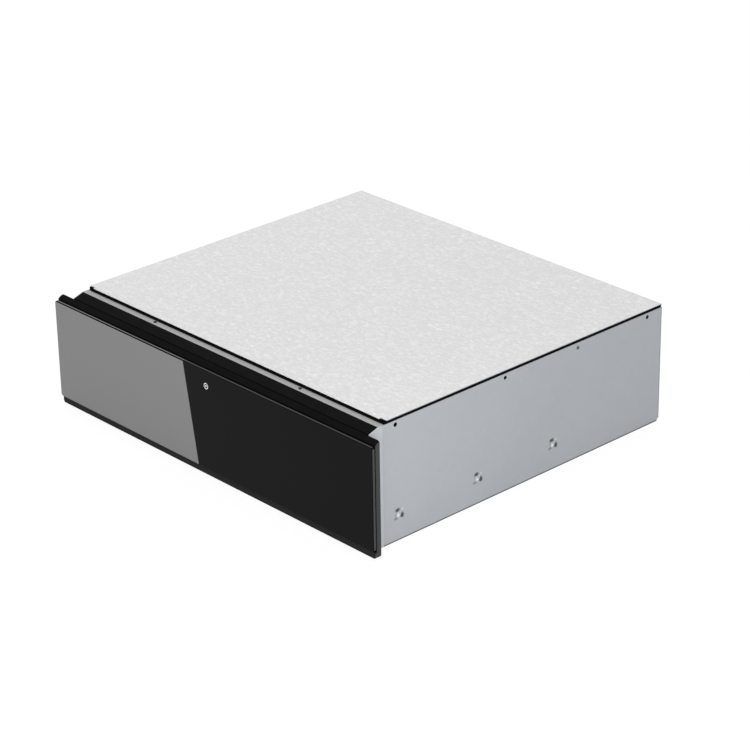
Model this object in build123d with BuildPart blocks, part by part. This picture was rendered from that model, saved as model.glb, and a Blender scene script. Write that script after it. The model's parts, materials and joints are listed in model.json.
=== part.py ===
from build123d import *

import os
from math import cos, radians, sin

os.makedirs("parts", exist_ok=True)

# A built-in warming drawer. Millimetres, +X to the right, +Y to the back, +Z up.
# The origin is the middle of the base panel's underside, which the drawer stands on.

# ---------------------------------------------------------------- driving sizes

# Case
case_width = 554.0
case_depth = 500.0
case_height = 162.0
sheet = 1.0  # wall of the folded case panels
panel_flange = 14.0  # folded edges of the side and back panels
corner_cut = 3.5  # slope at the lower back corners

# Cover and the insulating mat under it
cover_setback = 25.0  # from the case front to the cover's front edge
cover_thickness = 0.8
cover_notch_width = 10.0
cover_notch_depth = 3.0
mat_thickness = 3.8
mat_inset = 0.6

# Front end of the case
post_depth = 20.5
post_flange_width = 8.5
post_flange_gap = 6.5  # above the slides
slope_depth = 14.5  # the shoulder slopes over this depth
slope_drop = 4.6
fascia_bottom = 131.0
fascia_wall = 1.5
top_rail_flange = 30.5
bottom_rail_height = 9.0
side_play = 0.2  # at each end of what is set between the posts

# Side panel holes along the top: three are open and one holds a screw
side_hole_radius = 2.3
side_hole_front_gap = 41.0
side_hole_back_gap = 27.0
side_hole_pitch = 126.0  # of the back hole, the screw and the middle hole
side_hole_drop = 5.3  # of the open holes below the panel's top edge
side_screw_drop = 6.8

# Dimples that stand the slides off the side panels
dimple_depth = 1.2
dimple_radius = 6.5
dimple_slope = 45.0  # degrees
dimple_first = 45.5  # from the case front
dimple_pitch = 130.0
dimple_count = 3

# Drawer front
front_width = 595.0
front_gap = 2.8  # between the case and the closed drawer front
push_stroke = 1.8  # how far the closed drawer can be pushed in
carrier_thickness = 6.5
carrier_bottom = 3.5
carrier_corner = 3.5
carrier_web = 1.8
ridge_front_rise = 1.0  # above the glass
ridge_back_rise = 5.8
lip_height = 8.0
lip_gap = 2.5  # between the lower lip and the glass
lip_setback = 3.3  # of the lower lip behind the glass face
tape_thickness = 1.7
tape_inset = 2.0
tape_width = 10.0
glass_thickness = 4.0
glass_height = 134.0
glass_corner = 3.0
glass_bevel = 0.4

# Inner front panel and the bolts that hold the tub to the front
inner_panel_inset = 4.1  # inside the tub's sides
inner_panel_lift = 2.0  # above the tub's floor
inner_panel_rise = 8.0  # above the tub's rim
inner_panel_corner = 4.0
inner_panel_thickness = 1.0
bolt_inset = 62.0  # from the tub's sides
bolt_lift = 23.0  # of the lower row above the tub's floor
bolt_row_pitch = 40.0
bolt_radius = 2.0
bolt_head_radius = 3.6
bolt_head_height = 2.0
boss_radius = 5.0

# Tub
tub_wall = 0.8
tub_floor_height = 12.0
tub_rim_height = 118.0
tub_corner = 14.0
tub_floor_bend = 7.0
tub_rim_reach = 4.0
tub_slot_length = 22.0
tub_slot_width = 4.0
tub_slot_pitch = 18.0
tub_slot_columns = 14
tub_slot_rows = 2
tub_slot_row_pitch = 32.0
grip_mat_thickness = 1.5
grip_mat_gap = 16.0
grip_mat_corner = 12.0

# Telescopic slides, one each side: sizes from the case side towards the drawer
rail_height = 45.0
rail_thickness = 12.7
rail_sheet = 1.2
rail_length = 400.0
rail_travel = 380.0
rail_centre_height = 35.0
rail_setback = 5.0  # from the case front
slide_gap = 0.6  # between the nested webs
outer_lip = 3.1
outer_setback = 2.7  # of the outer flanges' edges from the drawer side
middle_setback = 3.2
outer_ball_radius = 2.3
inner_ball_radius = 2.05
ball_play = 0.25  # above and below each ball
cage_sheet = 0.6
cage_margin = 20.0  # between a cage and the ends of its overlap at full travel
pocket_clearance = 0.1
ball_pitch = 24.0
ball_count = 7

# Screws
screw_radius = 2.0
screw_clearance = 0.1
screw_head_radius = 3.2
screw_head_height = 1.0
cross_width = 0.9
cross_depth = 0.5
rail_screw_head_radius = 4.2
rail_screw_head_gap = 0.1  # the heads in the dimples lie this far below the side's face
small_screw_radius = 1.7
small_screw_head_radius = 2.2
small_screw_head_height = 0.8
small_screw_length = 6.0
flange_screw_half_spacing = 136.0
flange_screw_setback = 20.0  # from the case front
back_screw_inset = 21.0  # from the side panels
back_screw_heights = (30.0, 130.0)

# Rubber bumpers on the posts
bumper_radius = 3.4
bumper_thickness = 0.8
bumper_heights = (76.0, 122.0)

# Control deck at the front of the drawer, over the tub
deck_sheet = 1.0
deck_depth = 44.0
deck_end_play = 0.1  # between the deck's box and the tub's rounded corners
deck_box_height = 28.0
deck_front_gap = 1.0
control_row_depth = 22.0  # of the controls behind the deck's front edge

# Temperature knob and thermostat
knob_inset = 72.0  # from the tub's right side
knob_skirt_radius = 16.5
knob_skirt_height = 1.6
knob_grip_radius = 12.0
knob_height = 6.6
knob_lift = 0.4
knob_flutes = 18
knob_flute_radius = 0.9
pointer_width = 1.6
pointer_depth = 0.5
spindle_radius = 3.0
spindle_clearance = 0.05
spindle_length = 14.0
spindle_hole_clearance = 0.4
thermostat_width = 36.0
thermostat_depth = 30.0
thermostat_height = 22.0
thermostat_tab = 6.0

# Rocker switch and pilot lamp
switch_spacing = 60.0  # from the knob
bezel_width = 26.0
bezel_depth = 17.0
bezel_thickness = 1.2
bezel_corner = 2.0
switch_body_width = 21.0
switch_body_depth = 13.0
switch_body_height = 14.0
rocker_length = 16.4
rocker_width = 8.6
rocker_play = 0.5
rocker_thickness = 4.4
rocker_proud = 3.4
rocker_dip = 0.8
rocker_swing = 16.0  # degrees from off to on
rocker_pin_radius = 1.2
rocker_pin_length = 1.4
rocker_pin_clearance = 0.05
lamp_spacing = 30.0  # from the switch
lamp_radius = 3.6
lamp_height = 1.8
lamp_stem_radius = 2.8
lamp_stem_length = 8.0
lamp_hole_clearance = 0.2

# Fan heater at the back of the case
module_gap = 14.0  # behind the closed tub
module_width = 300.0
module_lift = 7.0  # above the push latch
module_depth = 35.0
module_wall = 0.8
module_foot = 15.0
grille_slot_length = 24.0
grille_slot_width = 3.0
grille_slot_pitch = 7.0
grille_slot_columns = 34
grille_slot_rows = 2
grille_slot_row_pitch = 36.0
element_tube_radius = 3.2
element_fan_gap = 3.8
element_wall_gap = 4.0
element_gap_angle = 20.0
element_setback = 18.0  # behind the grille
element_tail = 24.0
element_hole_clearance = 0.3
impeller_radius = 31.0
impeller_depth = 14.0
impeller_disc = 1.0
impeller_blades = 9
impeller_blade = 1.0
impeller_hub_radius = 7.0
impeller_eye_radius = 10.0
impeller_setback = 11.0  # behind the grille
shaft_radius = 2.5
shaft_clearance = 0.05
shaft_length = 26.0
shaft_hole_radius = 4.0
bracket_sheet = 1.2
bracket_width = 70.0
bracket_height = 40.0
motor_width = 44.0
motor_height = 40.0
motor_stack = 16.0
motor_gap = 4.0  # between the bracket's plate and the front bearing cap
motor_cap_radius = 12.0
motor_cap_depth = 4.0
motor_back_gap = 5.8  # between the motor and the back panel
coil_width = 20.0
coil_height = 12.0
cutout_place = 80.0
cutout_radius = 8.0
cutout_depth = 6.0
cutout_tab_width = 24.0
cutout_tab_height = 6.0
cutout_tab_thickness = 1.0

# Back panel: vents, mains gland, terminal block
vent_slot_length = 40.0
vent_slot_width = 4.0
vent_slot_pitch = 9.0
vent_slot_rows = 7
vent_slot_columns = 3
vent_slot_column_pitch = 52.0
vent_height = 100.0
gland_inset = 56.0  # from the right side panel
gland_height = 40.0
gland_bore_radius = 4.0
gland_body_radius = 8.0
gland_flange_radius = 12.0
gland_flange_thickness = 3.0
gland_nut_thickness = 4.0
gland_reach = 14.0
gland_hole_clearance = 0.3
terminal_inset = 61.0  # from the right side panel
terminal_height = 90.0
terminal_width = 34.0
terminal_depth = 16.0
terminal_tall = 18.0
terminal_screws = 3
terminal_pitch = 10.0
terminal_hole_radius = 2.2
terminal_hole_depth = 5.0

# Push latch
latch_width = 30.0
latch_height = 26.0
latch_end_wall = 3.6
latch_foot_width = 16.0
latch_foot_thickness = 1.5
plunger_radius = 5.0
plunger_clearance = 0.1
plunger_length = 31.8
plunger_hollow_radius = 3.2
plunger_nose = 10.0  # length of solid plunger before the spring's hollow
striker_gap = 3.0  # between the resting plunger and the striker
striker_thickness = 1.2
striker_width = 36.0
striker_top = 34.0
spring_play = 0.3  # inside the plunger
spring_wire_radius = 0.4
spring_turns = 10
spring_seat_gap = 0.2

# ---------------------------------------------------------------- places worked out from them

half_case = case_width / 2
side_inner = half_case - sheet
case_front = -case_depth / 2
case_back = case_depth / 2
flange_top = case_height - cover_thickness - mat_thickness
side_front = case_front + post_depth
shoulder_y = case_front + slope_depth
shoulder_height = flange_top - slope_drop
top_rail_back = shoulder_y + top_rail_flange
base_back = case_back - corner_cut
flange_back = base_back - panel_flange - 2 * sheet
cover_middle = (case_front + cover_setback + case_back) / 2
back_inside = case_back - sheet
back_screw_x = side_inner - back_screw_inset

side_back_hole = case_back - side_hole_back_gap
side_screw_y = side_back_hole - side_hole_pitch
side_hole_height = flange_top - side_hole_drop
side_screw_height = flange_top - side_screw_drop
side_holes = (
    (case_front + side_hole_front_gap, side_hole_height),
    (side_screw_y - side_hole_pitch, side_hole_height),
    (side_back_hole, side_hole_height),
)

carrier_back = case_front - front_gap
carrier_front = carrier_back - carrier_thickness
tape_front = carrier_front - tape_thickness
glass_front = tape_front - glass_thickness
half_front = front_width / 2
glass_bottom = carrier_bottom + lip_height + lip_gap
glass_top = glass_bottom + glass_height
glass_middle = glass_bottom + glass_height / 2
ridge_front_height = glass_top + ridge_front_rise
ridge_back_height = glass_top + ridge_back_rise
pocket_half_width = half_front - tape_inset - tape_width
pocket_bottom = glass_bottom + tape_inset + tape_width
pocket_top = glass_top - tape_inset - tape_width
pocket_back = carrier_back - carrier_web

# Across a slide, counted inwards from the case side
rail_face = side_inner - dimple_depth
rail_front = case_front + rail_setback
outer_cage_start = rail_sheet + slide_gap
middle_start = outer_cage_start + cage_sheet + slide_gap
inner_cage_start = middle_start + rail_sheet + slide_gap
inner_start = inner_cage_start + cage_sheet + slide_gap
outer_reach = rail_thickness - outer_setback
outer_cage_reach = outer_reach - rail_sheet - slide_gap
middle_reach = rail_thickness - middle_setback
inner_cage_reach = rail_thickness - rail_sheet - slide_gap
middle_height = rail_height - 2 * rail_sheet - 4 * (outer_ball_radius + ball_play)
inner_height = middle_height - 2 * rail_sheet - 4 * (inner_ball_radius + ball_play)
cage_length = rail_length - rail_travel / 2 - 2 * cage_margin
cage_start = rail_travel / 4 + cage_margin
first_dimple = case_front + dimple_first
dimple_places = [first_dimple + i * dimple_pitch for i in range(dimple_count)]
post_flange_bottom = rail_centre_height + rail_height / 2 + post_flange_gap

# The fan heater and the motor behind it fill the case from the back panel to the tub.
motor_stack_front = back_inside - motor_back_gap - motor_cap_depth - motor_stack
motor_front = motor_stack_front - motor_cap_depth
motor_length = motor_stack + 2 * motor_cap_depth
module_back = motor_front - motor_gap - bracket_sheet
module_front = module_back - module_depth
grille_front = module_front - sheet
element_radius = impeller_radius + element_fan_gap + element_tube_radius
half_module_height = element_radius + element_tube_radius + element_wall_gap + module_wall
module_bottom = sheet + latch_height + module_lift
fan_height = module_bottom + half_module_height
module_top = fan_height + half_module_height
half_module = module_width / 2

tub_half = rail_face - rail_thickness
tub_front = carrier_back + inner_panel_thickness
tub_back = grille_front - module_gap
tub_depth = tub_back - tub_front
tub_middle = (tub_front + tub_back) / 2
tub_inner_half = tub_half - tub_wall
tub_inner_floor = tub_floor_height + tub_wall
tub_front_inside = tub_front + tub_wall
inner_panel_half = tub_half - inner_panel_inset
inner_panel_bottom = tub_floor_height + inner_panel_lift
inner_panel_top = tub_rim_height + inner_panel_rise
bolt_x = tub_half - bolt_inset
bolt_low = tub_floor_height + bolt_lift
bolt_spots = [(s * bolt_x, z) for s in (-1, 1) for z in (bolt_low, bolt_low + bolt_row_pitch)]

deck_front = tub_front + deck_front_gap
deck_back = deck_front + deck_depth
deck_half = tub_half - tub_corner - deck_end_play
deck_top = tub_rim_height + deck_sheet
deck_box_bottom = tub_rim_height - deck_box_height
control_y = deck_front + control_row_depth
knob_x = tub_half - knob_inset
switch_x = knob_x - switch_spacing
lamp_x = switch_x - lamp_spacing

gland_x = side_inner - gland_inset
terminal_x = side_inner - terminal_inset

plunger_tip = tub_back + striker_thickness + striker_gap
plunger_height = sheet + latch_height / 2
latch_front = plunger_tip + push_stroke
spring_back = plunger_tip + plunger_length + push_stroke
latch_bore_end = spring_back + spring_wire_radius + spring_seat_gap
latch_back = latch_bore_end + latch_end_wall
spring_radius = plunger_hollow_radius - spring_play - spring_wire_radius


# ---------------------------------------------------------------- shared shapes


def from_front(y):
    """A plane square to the drawer's travel, drawn as seen from the front."""
    return Plane(origin=(0, y, 0), x_dir=(1, 0, 0), z_dir=(0, -1, 0))


def from_side(x):
    """A plane along the drawer's travel, drawn with the back to the right."""
    return Plane(origin=(x, 0, 0), x_dir=(0, 1, 0), z_dir=(1, 0, 0))


def outline(plane, points):
    """A closed face through points on a plane."""
    with BuildSketch(plane) as face:
        with BuildLine():
            Polyline(*points, close=True)
        make_face()
    return face.sketch


def block(low, high):
    """A box between its lowest and highest corners."""
    size = [top - bottom for bottom, top in zip(low, high)]
    with BuildPart() as box:
        with Locations(low):
            Box(*size, align=(Align.MIN, Align.MIN, Align.MIN))
    return box.part


def disc(plane, place, radius, amount):
    """A round bar that stands on a plane and grows along its normal."""
    with BuildPart() as bar:
        with BuildSketch(plane):
            with Locations(place):
                Circle(radius)
        extrude(amount=amount)
    return bar.part


def pan_screw(shank_radius, head_radius, head_height, length):
    """A screw along Z, its head above the seat at zero, with a cross recess."""
    with BuildPart() as screw:
        with BuildSketch(Plane.XY):
            Circle(head_radius)
        extrude(amount=head_height)
        fillet(screw.edges().group_by(Axis.Z)[-1], head_height / 2)
        with BuildSketch(Plane.XY):
            Circle(shank_radius)
        extrude(amount=-length)
        with BuildSketch(Plane.XY.offset(head_height)):
            Rectangle(head_radius, cross_width)
            Rectangle(cross_width, head_radius)
        extrude(amount=-cross_depth, mode=Mode.SUBTRACT)
    return screw.part


def screw_group(screw, planes):
    """The same screw set on each plane's origin, pointing against its normal."""
    with BuildPart() as group:
        with Locations(*planes):
            add(screw)
    return group


def mirrored(piece):
    """The left-hand twin of a right-hand piece."""
    with BuildPart() as twin:
        mirror(piece.part, about=Plane.YZ)
    return twin


def save(piece, name):
    """Labels a finished piece and writes it."""
    piece.part.label = name
    export_step(piece.part, f"parts/{name}.step")


# ---------------------------------------------------------------- case

with BuildPart() as base_panel:
    with BuildSketch(Plane.XY):
        with Locations((0, (side_front + base_back) / 2)):
            Rectangle(case_width, base_back - side_front)
    extrude(amount=sheet)
save(base_panel, "base_panel")

side_outline = (
    (side_front, sheet),
    (base_back, sheet),
    (case_back, sheet + corner_cut),
    (case_back, flange_top),
    (side_front, flange_top),
)
with BuildPart() as side_panel_right:
    extrude(outline(from_side(side_inner), side_outline), amount=sheet)
    add(
        block(
            (side_inner - panel_flange, top_rail_back, flange_top - sheet),
            (side_inner, flange_back, flange_top),
        )
    )
    add(
        block(
            (side_inner - panel_flange, side_front, sheet),
            (side_inner, flange_back, 2 * sheet),
        )
    )
    for y in dimple_places:
        with BuildSketch(from_side(side_inner)):
            with Locations((y, rail_centre_height)):
                Circle(dimple_radius)
        extrude(amount=-dimple_depth, taper=dimple_slope)
        with BuildSketch(from_side(half_case)):
            with Locations((y, rail_centre_height)):
                Circle(dimple_radius)
        extrude(amount=-dimple_depth, taper=dimple_slope, mode=Mode.SUBTRACT)
    with BuildSketch(from_side(half_case)):
        with Locations(*[(y, rail_centre_height) for y in dimple_places]):
            Circle(screw_radius + screw_clearance)
        with Locations(*side_holes):
            Circle(side_hole_radius)
        with Locations((side_screw_y, side_screw_height)):
            Circle(small_screw_radius + screw_clearance)
    extrude(amount=-sheet - dimple_depth, mode=Mode.SUBTRACT)
side_panel_left = mirrored(side_panel_right)
save(side_panel_right, "side_panel_right")
save(side_panel_left, "side_panel_left")

back_outline = (
    (flange_back, sheet),
    (base_back, sheet),
    (case_back, sheet + corner_cut),
    (case_back, flange_top),
    (flange_back, flange_top),
    (flange_back, flange_top - sheet),
    (case_back - sheet, flange_top - sheet),
    (case_back - sheet, sheet + corner_cut),
    (base_back - sheet, 2 * sheet),
    (flange_back, 2 * sheet),
)
back_screw_spots = [(s * back_screw_x, z) for s in (-1, 1) for z in back_screw_heights]
with BuildPart() as back_panel:
    extrude(outline(from_side(-side_inner), back_outline), amount=2 * side_inner)
    with BuildSketch(from_front(case_back)):
        with Locations((0, vent_height)):
            with GridLocations(
                vent_slot_column_pitch, vent_slot_pitch, vent_slot_columns, vent_slot_rows
            ):
                SlotOverall(vent_slot_length, vent_slot_width)
        with Locations((gland_x, gland_height)):
            Circle(gland_body_radius + gland_hole_clearance)
        with Locations(*back_screw_spots):
            Circle(screw_radius + screw_clearance)
    extrude(amount=sheet, mode=Mode.SUBTRACT)
save(back_panel, "back_panel")

with BuildPart() as insulation_mat:
    with BuildSketch(Plane.XY.offset(flange_top)):
        with Locations((0, cover_middle)):
            Rectangle(case_width - 2 * mat_inset, case_depth - cover_setback - 2 * mat_inset)
    extrude(amount=mat_thickness)
save(insulation_mat, "insulation_mat")

notch_x = half_case - cover_notch_width / 2
notch_y = case_front + cover_setback + cover_notch_depth / 2
notch_spots = ((-notch_x, notch_y), (notch_x, notch_y))
with BuildPart() as top_cover:
    with BuildSketch(Plane.XY.offset(case_height - cover_thickness)):
        with Locations((0, cover_middle)):
            Rectangle(case_width, case_depth - cover_setback)
        with Locations(*notch_spots):
            Rectangle(cover_notch_width, cover_notch_depth, mode=Mode.SUBTRACT)
    extrude(amount=cover_thickness)
save(top_cover, "top_cover")

# The post's web follows the sloped shoulder, and its front flange stays above the slides.
post_outline = (
    (case_front, 0),
    (side_front, 0),
    (side_front, flange_top),
    (shoulder_y, flange_top),
    (case_front, shoulder_height),
)
with BuildPart() as front_post_right:
    extrude(outline(from_side(side_inner), post_outline), amount=sheet)
    add(
        block(
            (half_case - post_flange_width, case_front, post_flange_bottom),
            (side_inner, case_front + sheet, fascia_bottom),
        )
    )
    add(
        block(
            (side_inner - panel_flange, case_front, 0),
            (side_inner, side_front, sheet),
        )
    )
front_post_left = mirrored(front_post_right)
save(front_post_right, "front_post_right")
save(front_post_left, "front_post_left")

rail_half_width = side_inner - side_play
top_rail_outline = (
    (shoulder_y, fascia_bottom),
    (shoulder_y + sheet, fascia_bottom),
    (shoulder_y + sheet, flange_top - sheet),
    (top_rail_back, flange_top - sheet),
    (top_rail_back, flange_top),
    (shoulder_y, flange_top),
)
flange_screw_spots = [
    (s * flange_screw_half_spacing, case_front + flange_screw_setback) for s in (-1, 1)
]
with BuildPart() as front_rail_top:
    extrude(outline(from_side(-rail_half_width), top_rail_outline), amount=2 * rail_half_width)
    with BuildSketch(Plane.XY.offset(flange_top)):
        with Locations(*flange_screw_spots):
            Circle(small_screw_radius + screw_clearance)
    extrude(amount=-sheet, mode=Mode.SUBTRACT)
save(front_rail_top, "front_rail_top")

fascia_outline = (
    (shoulder_y, flange_top),
    (case_front, shoulder_height),
    (case_front, fascia_bottom),
    (shoulder_y, fascia_bottom),
    (shoulder_y, fascia_bottom + fascia_wall),
    (case_front + fascia_wall, fascia_bottom + fascia_wall),
    (case_front + fascia_wall, shoulder_height - fascia_wall / 2),
    (shoulder_y, flange_top - fascia_wall),
)
with BuildPart() as fascia_trim:
    extrude(outline(from_side(-rail_half_width), fascia_outline), amount=2 * rail_half_width)
save(fascia_trim, "fascia_trim")

bottom_rail_half = side_inner - panel_flange
bottom_rail_outline = (
    (case_front, 0),
    (side_front, 0),
    (side_front, sheet),
    (case_front + sheet, sheet),
    (case_front + sheet, bottom_rail_height),
    (case_front, bottom_rail_height),
)
with BuildPart() as front_rail_bottom:
    extrude(outline(from_side(-bottom_rail_half), bottom_rail_outline), amount=2 * bottom_rail_half)
save(front_rail_bottom, "front_rail_bottom")

with BuildPart() as door_bumpers:
    for side in (-1, 1):
        for height in bumper_heights:
            spot = (side * (half_case - post_flange_width / 2), height)
            add(disc(from_front(case_front), spot, bumper_radius, bumper_thickness))
save(door_bumpers, "door_bumpers")

# ---------------------------------------------------------------- telescopic slides


def rail_x(place):
    """A place across the right-hand slide, counted inwards from the case side."""
    return rail_face - place


def channel(start, reach, height, wall, front, length):
    """A plain channel along the slide. Its web lies at start and its flanges run to reach."""
    inward = 1 if reach > start else -1
    half = height / 2
    points = [
        (rail_x(start), -half),
        (rail_x(reach), -half),
        (rail_x(reach), wall - half),
        (rail_x(start + inward * wall), wall - half),
        (rail_x(start + inward * wall), half - wall),
        (rail_x(reach), half - wall),
        (rail_x(reach), half),
        (rail_x(start), half),
    ]
    raised = [(x, z + rail_centre_height) for x, z in points]
    with BuildPart() as section:
        extrude(outline(from_front(front), raised), amount=-length)
    return section.part


with BuildPart() as rail_outer_right:
    add(channel(0, outer_reach, rail_height, rail_sheet, rail_front, rail_length))
    for side in (-1, 1):
        edge = rail_centre_height + side * rail_height / 2
        inside = edge - side * outer_lip
        add(
            block(
                (rail_x(outer_reach), rail_front, min(edge, inside)),
                (rail_x(outer_reach - rail_sheet), rail_front + rail_length, max(edge, inside)),
            )
        )
    with BuildSketch(from_side(rail_face)):
        with Locations(*[(y, rail_centre_height) for y in dimple_places]):
            Circle(screw_radius + screw_clearance)
    extrude(amount=-rail_sheet, mode=Mode.SUBTRACT)
rail_outer_left = mirrored(rail_outer_right)
save(rail_outer_right, "rail_outer_right")
save(rail_outer_left, "rail_outer_left")

with BuildPart() as rail_middle_right:
    add(channel(middle_start, middle_reach, middle_height, rail_sheet, rail_front, rail_length))
rail_middle_left = mirrored(rail_middle_right)
save(rail_middle_right, "rail_middle_right")
save(rail_middle_left, "rail_middle_left")

with BuildPart() as rail_inner_right:
    add(channel(rail_thickness, inner_start, inner_height, rail_sheet, rail_front, rail_length))
rail_inner_left = mirrored(rail_inner_right)
save(rail_inner_right, "rail_inner_right")
save(rail_inner_left, "rail_inner_left")


def ball_cage(start, reach, ball_radius, upper_flange, lower_flange):
    """A cage strip with two rows of balls, centred between two pairs of facing flanges."""
    ball_height = (upper_flange + lower_flange) / 2
    ball_place = (start + cage_sheet + reach) / 2
    front = rail_front + cage_start
    first = front + (cage_length - (ball_count - 1) * ball_pitch) / 2
    rows = [first + i * ball_pitch for i in range(ball_count)]
    with BuildPart() as cage:
        add(channel(start, reach, 2 * ball_height + cage_sheet, cage_sheet, front, cage_length))
        with BuildSketch(Plane.XY.offset(rail_centre_height - rail_height)):
            with Locations(*[(rail_x(ball_place), y) for y in rows]):
                Circle(ball_radius + pocket_clearance)
        extrude(amount=2 * rail_height, mode=Mode.SUBTRACT)
        with Locations(
            *[
                (rail_x(ball_place), y, rail_centre_height + side * ball_height)
                for y in rows
                for side in (-1, 1)
            ]
        ):
            Sphere(ball_radius)
    return cage


outer_inside = rail_height / 2 - rail_sheet
middle_outside = middle_height / 2
middle_inside = middle_outside - rail_sheet
inner_outside = inner_height / 2
cage_outer_right = ball_cage(
    outer_cage_start,
    outer_cage_reach,
    outer_ball_radius,
    outer_inside,
    middle_outside,
)
cage_inner_right = ball_cage(
    inner_cage_start,
    inner_cage_reach,
    inner_ball_radius,
    middle_inside,
    inner_outside,
)
cage_outer_left = mirrored(cage_outer_right)
cage_inner_left = mirrored(cage_inner_right)
save(cage_outer_right, "cage_outer_right")
save(cage_outer_left, "cage_outer_left")
save(cage_inner_right, "cage_inner_right")
save(cage_inner_left, "cage_inner_left")

# ---------------------------------------------------------------- screws of the case

rail_screw_seat = half_case - dimple_depth
rail_screw = pan_screw(
    screw_radius,
    rail_screw_head_radius,
    dimple_depth - rail_screw_head_gap,
    rail_screw_seat - rail_face + rail_sheet,
)
rail_screw_planes = [
    Plane(origin=(s * rail_screw_seat, y, rail_centre_height), z_dir=(s, 0, 0))
    for s in (-1, 1)
    for y in dimple_places
]
rail_screws = screw_group(rail_screw, rail_screw_planes)
save(rail_screws, "rail_screws")

small_screw = pan_screw(
    small_screw_radius,
    small_screw_head_radius,
    small_screw_head_height,
    small_screw_length,
)
side_screws = screw_group(
    small_screw,
    [
        Plane(origin=(s * half_case, side_screw_y, side_screw_height), z_dir=(s, 0, 0))
        for s in (-1, 1)
    ],
)
save(side_screws, "side_screws")

flange_screws = screw_group(
    small_screw,
    [Plane(origin=(x, y, flange_top), z_dir=(0, 0, 1)) for x, y in flange_screw_spots],
)
save(flange_screws, "flange_screws")

back_screw = pan_screw(screw_radius, screw_head_radius, screw_head_height, small_screw_length)
back_screws = screw_group(
    back_screw,
    [
        Plane(origin=(x, case_back, z), z_dir=(0, 1, 0))
        for x, z in back_screw_spots
    ],
)
save(back_screws, "back_screws")

# ---------------------------------------------------------------- drawer front

with BuildPart() as front_glass:
    with BuildSketch(from_front(tape_front)):
        with Locations((0, glass_middle)):
            RectangleRounded(front_width, glass_height, glass_corner)
    extrude(amount=glass_thickness)
    chamfer(front_glass.faces().sort_by(Axis.Y)[0].edges(), glass_bevel)
save(front_glass, "front_glass")

tape_half_width = half_front - tape_inset
with BuildPart() as glass_tape:
    with BuildSketch(from_front(carrier_front)):
        with Locations((0, pocket_bottom - tape_width / 2), (0, pocket_top + tape_width / 2)):
            Rectangle(2 * tape_half_width, tape_width)
        with Locations(*[(s * (tape_half_width - tape_width / 2), glass_middle) for s in (-1, 1)]):
            Rectangle(tape_width, pocket_top - pocket_bottom)
    extrude(amount=tape_thickness)
save(glass_tape, "glass_tape")

carrier_outline = (
    (carrier_back, carrier_bottom),
    (glass_front + lip_setback, carrier_bottom),
    (glass_front + lip_setback, carrier_bottom + lip_height),
    (carrier_front, carrier_bottom + lip_height),
    (carrier_front, ridge_front_height),
    (carrier_back, ridge_back_height),
)
carrier_height = ridge_back_height - carrier_bottom
with BuildPart() as front_carrier:
    extrude(outline(from_side(-half_front), carrier_outline), amount=front_width)
    with BuildSketch(from_front(carrier_back)):
        with Locations((0, carrier_bottom + carrier_height / 2)):
            RectangleRounded(front_width, carrier_height, carrier_corner)
    extrude(amount=carrier_back - glass_front, mode=Mode.INTERSECT)
    with BuildSketch(from_front(pocket_back)):
        with Locations((0, (pocket_bottom + pocket_top) / 2)):
            Rectangle(2 * pocket_half_width, pocket_top - pocket_bottom)
        with Locations(*bolt_spots):
            Circle(boss_radius, mode=Mode.SUBTRACT)
    extrude(amount=carrier_thickness - carrier_web, mode=Mode.SUBTRACT)
    with BuildSketch(from_front(carrier_back)):
        with Locations(*bolt_spots):
            Circle(bolt_radius + screw_clearance)
    extrude(amount=carrier_thickness, mode=Mode.SUBTRACT)
save(front_carrier, "front_carrier")

with BuildPart() as inner_front_panel:
    with BuildSketch(from_front(tub_front)):
        with Locations((0, (inner_panel_bottom + inner_panel_top) / 2)):
            RectangleRounded(
                2 * inner_panel_half, inner_panel_top - inner_panel_bottom, inner_panel_corner
            )
        with Locations(*bolt_spots):
            Circle(bolt_radius + screw_clearance, mode=Mode.SUBTRACT)
    extrude(amount=inner_panel_thickness)
save(inner_front_panel, "inner_front_panel")

# ---------------------------------------------------------------- tub

with BuildPart() as tub:
    with BuildSketch(Plane.XY.offset(tub_floor_height)):
        with Locations((0, tub_middle)):
            RectangleRounded(2 * tub_half, tub_depth, tub_corner)
    extrude(amount=tub_rim_height - tub_floor_height)
    fillet(tub.faces().sort_by(Axis.Z)[0].edges(), tub_floor_bend)
    offset(amount=-tub_wall, openings=tub.faces().sort_by(Axis.Z)[-1])
    with BuildSketch(Plane.XY.offset(tub_rim_height - tub_wall)):
        with Locations((0, tub_middle + tub_rim_reach / 2)):
            RectangleRounded(
                2 * (tub_half + tub_rim_reach), tub_depth + tub_rim_reach, tub_corner
            )
        with Locations((0, tub_middle)):
            RectangleRounded(
                2 * tub_inner_half,
                tub_depth - 2 * tub_wall,
                tub_corner - tub_wall,
                mode=Mode.SUBTRACT,
            )
    extrude(amount=tub_wall)
    with BuildSketch(from_front(tub_back)):
        with Locations((0, fan_height)):
            with GridLocations(
                tub_slot_pitch, tub_slot_row_pitch, tub_slot_columns, tub_slot_rows
            ):
                SlotOverall(tub_slot_length, tub_slot_width, rotation=90)
    extrude(amount=2 * tub_wall, mode=Mode.SUBTRACT)
    with BuildSketch(from_front(tub_front)):
        with Locations(*bolt_spots):
            Circle(bolt_radius + screw_clearance)
    extrude(amount=-2 * tub_wall, mode=Mode.SUBTRACT)
save(tub, "tub")

with BuildPart() as grip_mat:
    with BuildSketch(Plane.XY.offset(tub_inner_floor)):
        with Locations((0, tub_middle)):
            RectangleRounded(
                2 * (tub_inner_half - grip_mat_gap),
                tub_depth - 2 * (tub_wall + grip_mat_gap),
                grip_mat_corner,
            )
    extrude(amount=grip_mat_thickness)
save(grip_mat, "grip_mat")

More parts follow.
